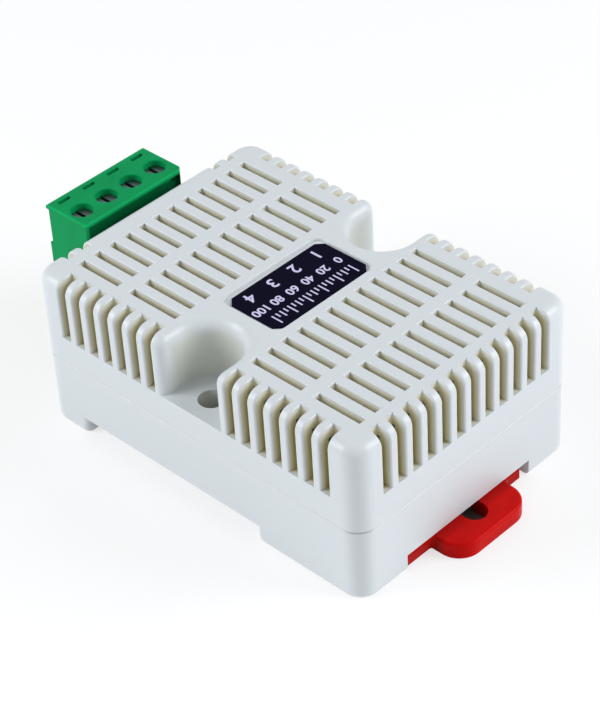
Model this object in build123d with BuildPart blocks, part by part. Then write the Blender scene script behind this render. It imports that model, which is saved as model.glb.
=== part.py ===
from build123d import *
import os

# Temperature and humidity sensor for a 35 mm rail or a wall, with a four-pole plug-in screw terminal.
# Millimetres. The origin is on the plane the feet stand on, under the middle of the whole part.
# +X points to the latch end, -X to the terminal end, and +Z is up, through the vented lid.
# Pieces are built round the middle of the housing, and move to the origin when they are written.

# Gaps and overruns that every piece shares
overrun = 1.0               # how far a cutting shape runs past the face that it cuts
slide_gap = 0.15            # between a sliding piece and what guides it
fit_gap = 0.1               # between still pieces that are pushed together
running_gap = 0.05          # radial gap round a turning screw

# Housing, base and lid together
body_length = 65.0          # along X
body_width = 45.6           # along Y
body_height = 27.5
seam_height = 12.4          # where the lid sits on the base
corner_radius = 3.2
top_edge_radius = 2.0
foot_edge_radius = 0.8
wall = 2.0
cavity_corner_radius = 1.2
tongue_thickness = 0.9      # raised rim of the base that centres the lid
tongue_height = 1.3
seam_bevel = 0.2            # on both sides of the seam

# Rail channel across the underside
rail_width = 35.0           # top-hat rail, flange to flange
rail_play = 0.8
rail_thickness = 1.0
rail_lift_play = 0.2
terminal_foot_length = 8.5  # foot at the terminal end, up to the channel
channel_depth = 3.1
channel_corner_radius = 1.2
lip_reach = 1.3             # fixed lips that hook under the rail
lip_thickness = 1.2
lip_length = 12.0
lip_spacing = 24.0

# Sliding latch, which closes on the other edge of the rail
latch_recess_width = 26.7
latch_thickness = 2.0
latch_lift = 0.7            # underside of the plate above the standing plane
latch_cutback = 1.85        # the far edge of the plate stops this much short of the recess
latch_grip = 1.3            # how far the nose reaches under the rail
latch_travel = 3.0
latch_end_setback = 0.1
nose_chamfer = 0.6
tab_reach = 5.4             # how far the pull tab stands out past the plate
tab_width = 15.6
tab_corner_radius = 3.7
tab_neck_radius = 1.0
tab_lift = 0.1
tab_rim_radius = 0.5
tab_root = 0.6              # how far the thick tab reaches back over the plate
driver_slot_width = 3.9
driver_slot_length = 7.0
driver_slot_edge = 2.35     # web left outside the driver slot
ledge_reach = 1.6           # ledges under the edges of the plate
ledge_clearance = 2.7       # ledges start this far behind the channel
ledge_setback = 4.0
stop_bump_length = 2.0
stop_bump_width = 4.0
stop_bump_height = 0.6
tongue_slit_width = 0.8
tongue_slit_length = 8.0

# Screw notches in the lid and the bosses under them
screw_inset = 4.3           # screw axes in from the long sides
screw_hole_radius = 2.1
boss_wall = 1.5
notch_radius = 5.3
notch_flare = 1.5
notch_floor_height = 17.3
notch_wall = 1.6
notch_floor_thickness = 1.8

# Vents
slot_width = 1.24
row_inset = 6.025           # outermost rows in from the long sides
row_count = 12
inner_column_start = 7.6
inner_column_length = 9.7
column_gap = 2.4
column_inset = 4.3          # outer columns stop this far in from the ends
side_slot_width = 1.5       # slots down the sides and the ends
side_slot_start = 8.15
side_slot_inset = 6.17      # last side slot in from the ends
side_slot_count = 7
side_slot_floor = 17.3
side_slot_wrap = 3.15       # how far a side slot runs in over the top
end_slot_wrap = 2.45
end_slot_clearance = 1.6    # slots at the terminal end keep this far from the header's sides
vent_edge_radius = 0.3
rim_bulge_share = 0.36      # how full the rounding of a side slot's rim is; 0.5 would be a flat chamfer

# Label and its recess
label_recess_width = 11.6
label_recess_web = 3.0      # between the recess and a notch
label_recess_radius = 1.5
label_recess_depth = 0.5
label_rim_radius = 0.3
label_width = 10.4
label_end_gap = 0.4
label_corner = 1.1
label_thickness = 0.25
label_shift = 0.35

# Snap arms that hold the lid down
arm_spacing = 40.0
arm_width = 6.0
arm_thickness = 1.2
arm_root_height = 3.0
hook_depth = 0.6
hook_height = 1.0
hook_level = 8.2            # underside of the hook
hook_window_height = 2.0

# Circuit board
board_thickness = 1.6
board_drop = 1.8            # underside of the board below the seam
board_end_gap = 0.8
board_side_gap = 1.6
board_corner_radius = 2.0
post_inset_x = 3.6          # posts in from the cavity walls
post_inset_y = 4.6
post_radius = 2.2
pin_radius = 1.0
pin_rise = 0.6
island_length = 9.0         # tongue of board that keeps heat away from the sensor
island_width = 9.0
island_slit = 1.0
island_neck = 2.0           # bridge that carries the sensor's tracks

# Four-pole header on the board
pole_count = 4
pole_pitch = 5.08
header_end_play = 0.38      # the header is longer inside than its poles
header_height = 8.7
header_depth = 12.0
header_proud = 1.8          # how far the header stands out of the end wall
header_side_wall = 0.6
header_floor = 1.1
header_roof = 1.0
header_back = 3.5
pin_size = 1.0
pin_setback = 2.0           # pin tips behind the header's mouth
pin_leg_offset = 1.5        # legs behind the header
pin_tail = 1.2              # legs below the board
board_hole_radius = 0.8

# Plug that carries the screw clamps
plug_shoulder_gap = 0.2     # between the plug and the header's mouth
plug_end_wall = 0.09        # past the outermost poles
plug_height = 15.0
plug_depth = 9.1
plug_lift = 0.1             # underside of the plug above the board's top face
plug_lip = 0.6
plug_top_plate = 0.65
plug_step_height = 8.0      # the wire side is proud below this height
nose_gap = 0.2
nose_length = 8.2
screw_line = 5.4            # screw axes behind the outer face of the plug
screw_well_radius = 1.8
well_rim_radius = 0.2
well_shoulder = 2.3         # plastic between the cage pocket and the screw head
back_recess_depth = 1.0
back_recess_wall = 0.6
back_recess_floor = 8.3
release_pocket_width = 1.7
release_pocket_height = 1.6
release_pocket_depth = 1.4
marker_slot_width = 0.75
marker_slot_length = 2.4
marker_slot_setback = 0.95
marker_slot_depth = 1.2
plug_edge_radius = 0.25
key_corner = 0.8

# Screw clamps inside the plug
cage_width = 4.0
cage_length = 4.6
cage_side = 0.6
cage_floor = 0.9
cage_roof = 1.0
cage_travel = 2.5           # opened by five and a half turns of the screw
cage_gap = 0.1
clamp_bar_height = 5.3      # underside of the clamp bar above the underside of the plug
clamp_bar_thickness = 0.8
clamp_bar_width = 2.6
contact_block_length = 1.2
contact_block_drop = 2.0
blade_thickness = 0.4
blade_height = 1.6
blade_length = 6.0
blade_pin_gap = 0.08
mouth_size = 1.7
mouth_depth = 1.2
shank_radius = 1.25
screw_head_radius = 1.7
screw_head_height = 1.5
driver_groove_width = 0.6
driver_groove_depth = 0.8

# Parts on the board: length, width, height
chip_lead_width = 0.4
chip_lead_height = 0.6
sensor_size = 2.5
sensor_height = 0.9
sensor_port_radius = 0.6
controller_size = 7.0
controller_height = 1.4
controller_lead_count = 8
controller_pitch = 0.8
transceiver_length = 4.9
transceiver_width = 3.9
transceiver_height = 1.5
transceiver_lead_count = 4
transceiver_pitch = 1.27
regulator_length = 6.5
regulator_width = 3.5
regulator_height = 1.6
regulator_lead_count = 3
regulator_pitch = 2.3
lead_reach = 1.1
capacitor_radius = 3.15
capacitor_height = 5.8
capacitor_base = 6.6
capacitor_base_height = 1.0
capacitor_neck = 0.3
inductor_size = 6.0
inductor_height = 3.0
inductor_core_radius = 2.3
inductor_groove = 0.5
diode_length = 4.3
diode_width = 3.6
diode_height = 2.2
diode_pitch = 4.4
chip_length = 1.6
chip_width = 0.8
chip_height = 0.5
chip_pitch = 2.2
chip_cap_height = 0.8
crystal_length = 5.0
crystal_width = 3.2
crystal_height = 1.1
crystal_corner_radius = 0.6
led_length = 1.6
led_width = 0.8
led_base_height = 0.4
led_dome_radius = 0.35

# Places on the board, from its middle or from what they stand beside
controller_x = 4.5
transceiver_x = -8.0
transceiver_y = -6.5
regulator_x = -8.5
regulator_y = 9.0
leg_clearance = 1.5         # first parts behind the header's legs
capacitor_edge_gap = 1.9
inductor_edge_gap = 2.2
diode_count = 3
crystal_x = 12.5
crystal_y = -7.0
led_x = 12.5
led_y = 7.5
resistor_column_count = 3
resistor_row_count = 2
end_resistor_x = 13.5
end_resistor_edge_gap = 4.7
notch_resistor_gap = 3.6    # from a notch of the board to the middle of the resistors
chip_capacitor_row_count = 2
notch_capacitor_x = -1.5
notch_capacitor_gap = 4.6
sensor_capacitor_x = 12.5
sensor_capacitor_y = 3.0
controller_capacitor_x = -2.4
controller_capacitor_y = -2.6

# Places that follow from the sizes above
half_length = body_length / 2
half_width = body_width / 2
cavity_length = body_length - 2 * wall
cavity_width = body_width - 2 * wall
cavity_floor = channel_depth + wall
ceiling_height = body_height - wall
channel_width = rail_width + rail_play
channel_start = terminal_foot_length - half_length
channel_end = channel_start + channel_width
lip_top = channel_depth - rail_thickness - rail_lift_play
screw_row = half_width - screw_inset
screw_spacing = 2 * screw_row
boss_radius = screw_hole_radius + boss_wall
boss_top = notch_floor_height - notch_floor_thickness
board_bottom = seam_height - board_drop
board_top = board_bottom + board_thickness
board_length = cavity_length - 2 * board_end_gap
board_width = cavity_width - 2 * board_side_gap
post_x = cavity_length / 2 - post_inset_x
post_y = cavity_width / 2 - post_inset_y
notch_of_board = screw_row - boss_radius - board_end_gap
label_recess_length = 2 * (screw_row - notch_radius - label_recess_web)
label_length = label_recess_length - 2 * label_end_gap

row_pitch = (body_width - 2 * row_inset) / (row_count - 1)
row_places = [(k - (row_count - 1) / 2) * row_pitch for k in range(row_count)]
side_slot_pitch = (half_length - side_slot_inset - side_slot_start) / (side_slot_count - 1)
outer_column_start = inner_column_start + inner_column_length + column_gap
outer_column_length = half_length - column_inset - outer_column_start

latch_top = latch_lift + latch_thickness
latch_recess_height = latch_top + slide_gap
latch_near_edge = -(latch_recess_width / 2 - slide_gap)
latch_far_edge = latch_recess_width / 2 - slide_gap - latch_cutback
latch_end = half_length - latch_end_setback
latch_nose = channel_end - latch_grip
tab_end = latch_end + tab_reach
stop_bump_x = (channel_end + half_length) / 2
ledge_start = channel_end + ledge_clearance
ledge_length = half_length - ledge_setback - ledge_start
ledge_top = latch_lift - slide_gap

header_mouth = -half_length - header_proud
header_rear = header_mouth + header_depth
header_cavity_width = pole_count * pole_pitch + header_end_play
header_width = header_cavity_width + 2 * header_side_wall
terminal_rows = [y for y in row_places if abs(y) > header_width / 2 + end_slot_clearance]
header_cavity_floor = board_top + header_floor
header_cavity_height = header_height - header_floor - header_roof
header_cavity_end = header_rear - header_back
pin_axis_height = header_cavity_floor + header_cavity_height / 2
pin_leg_x = header_rear + pin_leg_offset

plug_back = header_mouth - plug_shoulder_gap
plug_front = plug_back - plug_depth
plug_bottom = board_top + plug_lift
plug_top = plug_bottom + plug_height
plug_width = pole_count * pole_pitch + 2 * plug_end_wall
plug_step = plug_bottom + plug_step_height
nose_tip = plug_back + nose_length
nose_height = header_cavity_height - 2 * nose_gap
nose_width = header_cavity_width - 2 * nose_gap
origin_shift = -(plug_front + tab_end) / 2
screw_x = plug_front + screw_line
bar_bottom = plug_bottom + clamp_bar_height
bar_top = bar_bottom + clamp_bar_thickness
cage_bottom = bar_bottom - cage_gap - cage_floor
cage_window = cage_floor + cage_gap + clamp_bar_thickness + cage_gap + cage_travel
cage_top = cage_bottom + cage_window + cage_gap + cage_roof
pocket_bottom = cage_bottom - cage_travel - 2 * cage_gap
pocket_top = cage_top + 2 * cage_gap
pocket_width = cage_width + 2 * cage_gap
pocket_start = screw_x - cage_length / 2 - slide_gap
pocket_end = screw_x + cage_length / 2 + slide_gap
entry_top = cage_top - cage_travel + cage_gap
screw_tip = bar_top + running_gap
well_floor = pocket_top + well_shoulder
screw_head_bottom = well_floor + slide_gap
contact_start = pocket_end + running_gap
contact_bottom = bar_top - clamp_bar_thickness - contact_block_drop
blade_start = contact_start + contact_block_length
blade_offset = pin_size / 2 + blade_pin_gap + blade_thickness / 2
contact_width = clamp_bar_width
pole_places = [(k - (pole_count - 1) / 2) * pole_pitch for k in range(pole_count)]

first_parts = pin_leg_x + pin_size / 2 + leg_clearance
capacitor_x = first_parts + capacitor_base / 2
capacitor_y = board_width / 2 - capacitor_edge_gap - capacitor_base / 2
inductor_x = first_parts + inductor_size / 2
inductor_y = inductor_edge_gap + inductor_size / 2 - board_width / 2
diode_x = first_parts + (diode_length + lead_reach) / 2
resistor_places = [
    (0, notch_resistor_gap - notch_of_board),
    (end_resistor_x, board_width / 2 - end_resistor_edge_gap),
]
chip_capacitor_places = [
    (notch_capacitor_x, notch_of_board - notch_capacitor_gap),
    (sensor_capacitor_x, sensor_capacitor_y),
    (controller_capacitor_x, controller_capacitor_y),
]


def keep(piece, name):
    """Moves a finished piece to the part's origin, labels it and writes its file."""
    placed = piece.part.moved(Location((origin_shift, 0, 0)))
    placed.label = name
    export_step(placed, f"parts/{name}.step")


os.makedirs("parts", exist_ok=True)

# Base shell: feet, rail channel, latch recess, board posts and screw bosses
with BuildPart() as base_shell:
    with BuildSketch():
        RectangleRounded(body_length, body_width, corner_radius)
    extrude(amount=seam_height)
    chamfer(base_shell.edges().group_by(Axis.Z)[-1], seam_bevel)
    with BuildSketch():
        with Locations((channel_start + channel_width / 2, 0)):
            Rectangle(channel_width, body_width + 2 * overrun)
    extrude(amount=channel_depth, mode=Mode.SUBTRACT)
    channel_corners = base_shell.edges().filter_by(Axis.Z).filter_by(
        lambda e: e.center().Z < channel_depth and abs(e.center().X) < half_length - corner_radius
    )
    fillet(channel_corners, channel_corner_radius)
    fillet(base_shell.edges().group_by(Axis.Z)[0], foot_edge_radius)

    # Recess for the latch, from the channel out through the end wall
    latch_recess_start = channel_end - overrun
    latch_recess_length = half_length + overrun - latch_recess_start
    with BuildSketch():
        with Locations((latch_recess_start + latch_recess_length / 2, 0)):
            Rectangle(latch_recess_length, latch_recess_width)
    extrude(amount=latch_recess_height, mode=Mode.SUBTRACT)

    # Guide rib at the far edge of the latch, and a ledge under each edge
    guide_width = latch_cutback
    with BuildSketch():
        with Locations((ledge_start + ledge_length / 2, latch_recess_width / 2 - guide_width / 2)):
            Rectangle(ledge_length, guide_width)
    extrude(amount=latch_recess_height + overrun)
    with BuildSketch():
        with Locations((ledge_start + ledge_length / 2, latch_far_edge + slide_gap - ledge_reach / 2)):
            Rectangle(ledge_length, ledge_reach)
        with Locations((ledge_start + ledge_length / 2, latch_near_edge - slide_gap + ledge_reach / 2)):
            Rectangle(ledge_length, ledge_reach)
    extrude(amount=ledge_top)

    # Groove in which the latch's stop bump runs
    groove_length = stop_bump_length + latch_travel + 2 * slide_gap
    groove_start = stop_bump_x - stop_bump_length / 2 - slide_gap
    with BuildSketch(Plane.XY.offset(latch_recess_height)):
        with Locations((groove_start + groove_length / 2, 0)):
            Rectangle(groove_length, stop_bump_width + 2 * slide_gap)
    extrude(amount=stop_bump_height, mode=Mode.SUBTRACT)

    # Fixed lips that hook under the rail
    with BuildSketch(Plane.XY.offset(lip_top - lip_thickness)):
        with Locations((channel_start + (lip_reach - overrun) / 2, 0)):
            with GridLocations(lip_spacing, lip_spacing, 1, 2):
                Rectangle(lip_reach + overrun, lip_length)
    extrude(amount=lip_thickness)

    # Inside of the tray, deeper over the terminal-end foot
    with BuildSketch(Plane.XY.offset(cavity_floor)):
        RectangleRounded(cavity_length, cavity_width, cavity_corner_radius)
    extrude(amount=seam_height - cavity_floor, mode=Mode.SUBTRACT)
    foot_pocket_length = terminal_foot_length - 2 * wall
    with BuildSketch(Plane.XY.offset(wall)):
        with Locations((wall - half_length + foot_pocket_length / 2, 0)):
            RectangleRounded(foot_pocket_length, cavity_width, cavity_corner_radius)
    extrude(amount=cavity_floor - wall + overrun, mode=Mode.SUBTRACT)

    # Rim that centres the lid
    with BuildSketch(Plane.XY.offset(seam_height)):
        RectangleRounded(
            cavity_length + 2 * tongue_thickness,
            cavity_width + 2 * tongue_thickness,
            cavity_corner_radius + tongue_thickness,
        )
        RectangleRounded(cavity_length, cavity_width, cavity_corner_radius, mode=Mode.SUBTRACT)
    extrude(amount=tongue_height)

    # Posts and pins for the board
    with BuildSketch(Plane.XY.offset(cavity_floor)):
        with GridLocations(2 * post_x, 2 * post_y, 2, 2):
            Circle(post_radius)
    extrude(amount=board_bottom - cavity_floor)
    with BuildSketch(Plane.XY.offset(wall)):
        with Locations((-post_x, -post_y), (-post_x, post_y)):
            Circle(post_radius)
    extrude(amount=cavity_floor - wall)
    with BuildSketch(Plane.XY.offset(board_bottom)):
        with GridLocations(2 * post_x, 2 * post_y, 2, 2):
            Circle(pin_radius)
    extrude(amount=board_thickness + pin_rise)

    # Screw bosses, kept clear of the lid's wall above the seam
    with BuildSketch(Plane.XY.offset(channel_depth)):
        with GridLocations(screw_spacing, screw_spacing, 1, 2):
            Circle(boss_radius)
        Rectangle(body_length, body_width - wall, mode=Mode.INTERSECT)
    extrude(amount=seam_height - channel_depth)
    with BuildSketch(Plane.XY.offset(seam_height)):
        with GridLocations(screw_spacing, screw_spacing, 1, 2):
            Circle(boss_radius)
        Rectangle(body_length, cavity_width - 2 * fit_gap, mode=Mode.INTERSECT)
    extrude(amount=boss_top - seam_height)
    with BuildSketch():
        with GridLocations(screw_spacing, screw_spacing, 1, 2):
            Circle(screw_hole_radius)
    extrude(amount=boss_top + overrun, mode=Mode.SUBTRACT)

    # Window for each snap hook, and the rim cut away for the arms
    with BuildSketch(Plane.XY.offset(hook_level + hook_height / 2 - hook_window_height / 2)):
        with GridLocations(arm_spacing, cavity_width, 2, 2):
            Rectangle(arm_width + 2 * slide_gap, 2 * (hook_depth + slide_gap))
    extrude(amount=hook_window_height, mode=Mode.SUBTRACT)
    with BuildSketch(Plane.XY.offset(seam_height)):
        with GridLocations(arm_spacing, cavity_width + tongue_thickness, 2, 2):
            Rectangle(arm_width + 2 * slide_gap, tongue_thickness + overrun)
    extrude(amount=tongue_height, mode=Mode.SUBTRACT)

    # End wall cut down for the header
    with BuildSketch(Plane.XY.offset(board_top - fit_gap)):
        with Locations((-half_length + wall / 2, 0)):
            Rectangle(wall + 2 * overrun, header_width + 2 * fit_gap)
    extrude(amount=header_height, mode=Mode.SUBTRACT)
keep(base_shell, "base_shell")


def slot_rim(half_reach, wrap):
    """Makes the flared rim that rounds a slot's mouth up the +X wall and in over the top edge."""
    bend_height = body_height - top_edge_radius
    bend_start = half_reach - top_edge_radius
    slot_half = side_slot_width / 2
    bulge = vent_edge_radius * rim_bulge_share
    with BuildPart() as rim:
        with BuildLine(Plane.XZ) as rim_path:
            Line((half_reach, side_slot_floor), (half_reach, bend_height))
            RadiusArc((half_reach, bend_height), (bend_start, body_height), -top_edge_radius)
            Line((bend_start, body_height), (half_reach - wrap, body_height))
        with BuildSketch(Plane.XY.offset(side_slot_floor)):
            with BuildLine():
                inner_end = (half_reach - vent_edge_radius, slot_half)
                outer_end = (half_reach, slot_half + vent_edge_radius)
                ThreePointArc(inner_end, (half_reach - bulge, slot_half + bulge), outer_end)
                Line(outer_end, (half_reach + vent_edge_radius, slot_half + 2 * vent_edge_radius))
                mirror(about=Plane.XZ)
                Line(inner_end, (half_reach - vent_edge_radius, -slot_half))
                outer_corner = slot_half + 2 * vent_edge_radius
                Line(
                    (half_reach + vent_edge_radius, -outer_corner),
                    (half_reach + vent_edge_radius, outer_corner),
                )
            make_face()
        sweep(path=rim_path.wires()[0])
    return rim.part


side_slot_rim = slot_rim(half_width, side_slot_wrap)
end_slot_rim = slot_rim(half_length, end_slot_wrap)

# Lid: vented cover with a screw notch at the middle of each long side
with BuildPart() as lid_cover:
    with BuildSketch(Plane.XY.offset(seam_height)):
        RectangleRounded(body_length, body_width, corner_radius)
    extrude(amount=notch_floor_height - seam_height)
    chamfer(lid_cover.edges().group_by(Axis.Z)[0], seam_bevel)
    with BuildSketch(Plane.XY.offset(notch_floor_height)) as notched_outline:
        RectangleRounded(body_length, body_width, corner_radius)
        with GridLocations(screw_spacing, screw_spacing, 1, 2):
            Circle(notch_radius, mode=Mode.SUBTRACT)
        notch_mouth = half_width + overrun - screw_row
        with GridLocations(screw_spacing + notch_mouth, screw_spacing + notch_mouth, 1, 2):
            Rectangle(2 * notch_radius, notch_mouth, mode=Mode.SUBTRACT)
        mouth_corners = notched_outline.vertices().filter_by(
            lambda v: abs(v.X) < notch_radius + fit_gap and abs(v.Y) > half_width - fit_gap
        )
        fillet(mouth_corners, notch_flare)
    extrude(amount=body_height - notch_floor_height)
    fillet(lid_cover.faces().sort_by(Axis.Z)[-1].outer_wire().edges(), top_edge_radius)

    # Inside of the lid, in two steps round the walls of the notches
    with BuildSketch(Plane.XY.offset(seam_height)):
        RectangleRounded(cavity_length, cavity_width, cavity_corner_radius)
    extrude(amount=boss_top - seam_height, mode=Mode.SUBTRACT)
    with BuildSketch(Plane.XY.offset(boss_top)):
        RectangleRounded(cavity_length, cavity_width, cavity_corner_radius)
        with GridLocations(screw_spacing, screw_spacing, 1, 2):
            Circle(notch_radius + notch_wall, mode=Mode.SUBTRACT)
        with GridLocations(screw_spacing + notch_mouth, screw_spacing + notch_mouth, 1, 2):
            Rectangle(2 * (notch_radius + notch_wall), notch_mouth, mode=Mode.SUBTRACT)
    extrude(amount=ceiling_height - boss_top, mode=Mode.SUBTRACT)
    with BuildSketch(Plane.XY.offset(boss_top)):
        with GridLocations(screw_spacing, screw_spacing, 1, 2):
            Circle(screw_hole_radius)
    extrude(amount=notch_floor_thickness, mode=Mode.SUBTRACT)

    # Rebate over the base's rim
    with BuildSketch(Plane.XY.offset(seam_height)):
        RectangleRounded(
            cavity_length + 2 * (tongue_thickness + fit_gap),
            cavity_width + 2 * (tongue_thickness + fit_gap),
            cavity_corner_radius + tongue_thickness + fit_gap,
        )
        RectangleRounded(cavity_length, cavity_width, cavity_corner_radius, mode=Mode.SUBTRACT)
    extrude(amount=tongue_height + fit_gap, mode=Mode.SUBTRACT)

    # Snap arms with their hooks
    arm_y = cavity_width / 2 - fit_gap - arm_thickness / 2
    arm_root = seam_height + tongue_height + fit_gap
    with BuildSketch(Plane.XY.offset(hook_level)):
        with GridLocations(arm_spacing, 2 * arm_y, 2, 2):
            Rectangle(arm_width, arm_thickness)
    extrude(amount=arm_root + arm_root_height - hook_level)
    with BuildSketch(Plane.XY.offset(arm_root)):
        with GridLocations(arm_spacing, cavity_width, 2, 2):
            Rectangle(arm_width, wall)
    extrude(amount=arm_root_height)
    with BuildSketch(Plane.XY.offset(hook_level)):
        with GridLocations(arm_spacing, cavity_width - 2 * fit_gap, 2, 2):
            Rectangle(arm_width, 2 * hook_depth)
    extrude(amount=hook_height)

    # Opening for the header in the terminal end
    with BuildSketch(Plane.XY.offset(seam_height)):
        with Locations((-half_length + wall / 2, 0)):
            Rectangle(wall + 2 * overrun, header_width + 2 * fit_gap)
    extrude(amount=board_top + header_height + fit_gap - seam_height, mode=Mode.SUBTRACT)

    # Recess for the label
    with BuildSketch(Plane.XY.offset(body_height)):
        RectangleRounded(label_recess_width, label_recess_length, label_recess_radius)
    extrude(amount=-label_recess_depth, mode=Mode.SUBTRACT)
    fillet(lid_cover.faces().sort_by(Axis.Z)[-1].inner_wires().edges(), label_rim_radius)

    # Rows of slots through the top
    slot_columns = ((inner_column_start, inner_column_length), (outer_column_start, outer_column_length))
    for side in (-1, 1):
        for start, length in slot_columns:
            with BuildSketch(Plane.XY.offset(body_height)):
                with Locations((side * (start + length / 2), 0)):
                    with GridLocations(row_pitch, row_pitch, 1, row_count):
                        Rectangle(length, slot_width)
            extrude(amount=-(wall + overrun), mode=Mode.SUBTRACT)
    top_slot_edges = lid_cover.edges().group_by(Axis.Z)[-1].filter_by(
        lambda e: abs(e.center().X) > inner_column_start - fit_gap
        and abs(e.center().X) < half_length - end_slot_wrap
        and abs(e.center().Y) < half_width - side_slot_wrap
    )
    fillet(top_slot_edges, vent_edge_radius)

    # Slots down the long sides and the ends, which run in over the top edge
    slot_top = body_height + overrun - side_slot_floor
    side_reach = side_slot_wrap + overrun
    side_middle = half_width - side_slot_wrap + side_reach / 2
    side_group = side_slot_start + (side_slot_count - 1) * side_slot_pitch / 2
    with BuildSketch(Plane.XY.offset(side_slot_floor)):
        for group_x in (-side_group, side_group):
            for group_y in (-side_middle, side_middle):
                with Locations((group_x, group_y)):
                    with GridLocations(side_slot_pitch, side_slot_pitch, side_slot_count, 1):
                        Rectangle(side_slot_width, side_reach)
    extrude(amount=slot_top, mode=Mode.SUBTRACT)
    end_reach = end_slot_wrap + overrun
    end_middle = half_length - end_slot_wrap + end_reach / 2
    with BuildSketch(Plane.XY.offset(side_slot_floor)):
        for row in row_places:
            with Locations((end_middle, row)):
                Rectangle(end_reach, side_slot_width)
        for row in terminal_rows:
            with Locations((-end_middle, row)):
                Rectangle(end_reach, side_slot_width)
    extrude(amount=slot_top, mode=Mode.SUBTRACT)

    # Rounded rims of those slots
    side_slot_places = [
        Location((x_side * (side_slot_start + k * side_slot_pitch), 0, 0), (0, 0, y_side * 90))
        for x_side in (-1, 1)
        for y_side in (-1, 1)
        for k in range(side_slot_count)
    ]
    with Locations(*side_slot_places):
        add(side_slot_rim, mode=Mode.SUBTRACT)
    latch_end_places = [Location((0, row, 0)) for row in row_places]
    terminal_end_places = [Location((0, row, 0), (0, 0, 180)) for row in terminal_rows]
    with Locations(*latch_end_places, *terminal_end_places):
        add(end_slot_rim, mode=Mode.SUBTRACT)
keep(lid_cover, "lid_cover")

# Label: a thin sheet with cut corners, a little off centre in its recess
with BuildPart() as label_sheet:
    with BuildSketch(Plane.XY.offset(body_height - label_recess_depth)) as label_outline:
        with Locations((label_shift, 0)):
            Rectangle(label_width, label_length)
        chamfer(label_outline.vertices(), label_corner)
    extrude(amount=label_thickness)
keep(label_sheet, "label_sheet")

# Latch: flat slider with a nose under the rail, a stop bump on a springy tongue and a pull tab
with BuildPart() as din_latch:
    plate_width = latch_far_edge - latch_near_edge
    plate_middle = (latch_far_edge + latch_near_edge) / 2
    with BuildSketch(Plane.XY.offset(latch_lift)):
        with Locations(((latch_nose + latch_end) / 2, plate_middle)):
            Rectangle(latch_end - latch_nose, plate_width)
    extrude(amount=latch_thickness)
    with BuildSketch(Plane.XY.offset(tab_lift)) as tab_outline:
        tab_start = latch_end - tab_root
        with Locations(((tab_start + tab_end) / 2, 0)):
            Rectangle(tab_end - tab_start, tab_width)
        fillet(tab_outline.vertices().group_by(Axis.X)[-1], tab_corner_radius)
    extrude(amount=latch_top - tab_lift)
    neck = din_latch.edges().filter_by(Axis.Z).filter_by(
        lambda e: abs(e.center().X - latch_end) < fit_gap and abs(e.center().Y) < tab_width / 2 + fit_gap
    )
    fillet(neck, tab_neck_radius)
    tab_rim = din_latch.faces().sort_by(Axis.Z)[-1].edges().filter_by(
        lambda e: e.center().X > latch_end + tab_neck_radius
    )
    fillet(tab_rim, tab_rim_radius)

    # Nose thinned so that it passes under the rail
    nose_step = channel_end + slide_gap - latch_nose
    with BuildSketch(Plane.XY.offset(lip_top - slide_gap)):
        with Locations((latch_nose + (nose_step - overrun) / 2, plate_middle)):
            Rectangle(nose_step + overrun, plate_width + 2 * overrun)
    extrude(amount=latch_thickness, mode=Mode.SUBTRACT)
    chamfer(din_latch.edges().filter_by(Axis.Y).sort_by(Axis.X)[0:2].sort_by(Axis.Z)[0], nose_chamfer)

    # Driver slot with a round outer end
    slot_end = tab_end - driver_slot_edge
    with BuildSketch(Plane.XY.offset(tab_lift)):
        with Locations((slot_end - driver_slot_length / 2, 0)):
            SlotOverall(driver_slot_length, driver_slot_width)
    extrude(amount=latch_thickness + latch_lift + overrun, mode=Mode.SUBTRACT)

    # Stop bump and the slits that make its tongue springy
    with BuildSketch(Plane.XY.offset(latch_top)):
        with Locations((stop_bump_x, 0)):
            Rectangle(stop_bump_length, stop_bump_width)
    extrude(amount=stop_bump_height - slide_gap)
    slit_offset = stop_bump_width / 2 + tongue_slit_width
    with BuildSketch(Plane.XY.offset(latch_lift)):
        with Locations((stop_bump_x, 0)):
            with GridLocations(2 * slit_offset, 2 * slit_offset, 1, 2):
                Rectangle(tongue_slit_length, tongue_slit_width)
        with Locations((stop_bump_x - tongue_slit_length / 2, 0)):
            Rectangle(tongue_slit_width, 2 * slit_offset + tongue_slit_width)
    extrude(amount=latch_thickness, mode=Mode.SUBTRACT)
keep(din_latch, "din_latch")

# Circuit board: notched round the bosses, with a slit round the sensor's island
sensor_x = board_length / 2 - island_length / 2
with BuildPart() as circuit_board:
    with BuildSketch(Plane.XY.offset(board_bottom)):
        RectangleRounded(board_length, board_width, board_corner_radius)
        with GridLocations(screw_spacing, screw_spacing, 1, 2):
            Circle(boss_radius + board_end_gap, mode=Mode.SUBTRACT)
        with GridLocations(2 * post_x, 2 * post_y, 2, 2):
            Circle(pin_radius + fit_gap, mode=Mode.SUBTRACT)
        with Locations((sensor_x, 0)):
            with GridLocations(island_width + island_slit, island_width + island_slit, 1, 2):
                Rectangle(island_length, island_slit, mode=Mode.SUBTRACT)
        with Locations((sensor_x - island_length / 2 + island_slit / 2, 0)):
            with GridLocations(island_slit, (island_width + island_neck) / 2, 1, 2):
                Rectangle(island_slit, (island_width - island_neck) / 2, mode=Mode.SUBTRACT)
        with Locations((pin_leg_x, 0)):
            with GridLocations(pole_pitch, pole_pitch, 1, pole_count):
                Circle(board_hole_radius, mode=Mode.SUBTRACT)
    extrude(amount=board_thickness)
keep(circuit_board, "circuit_board")

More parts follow.
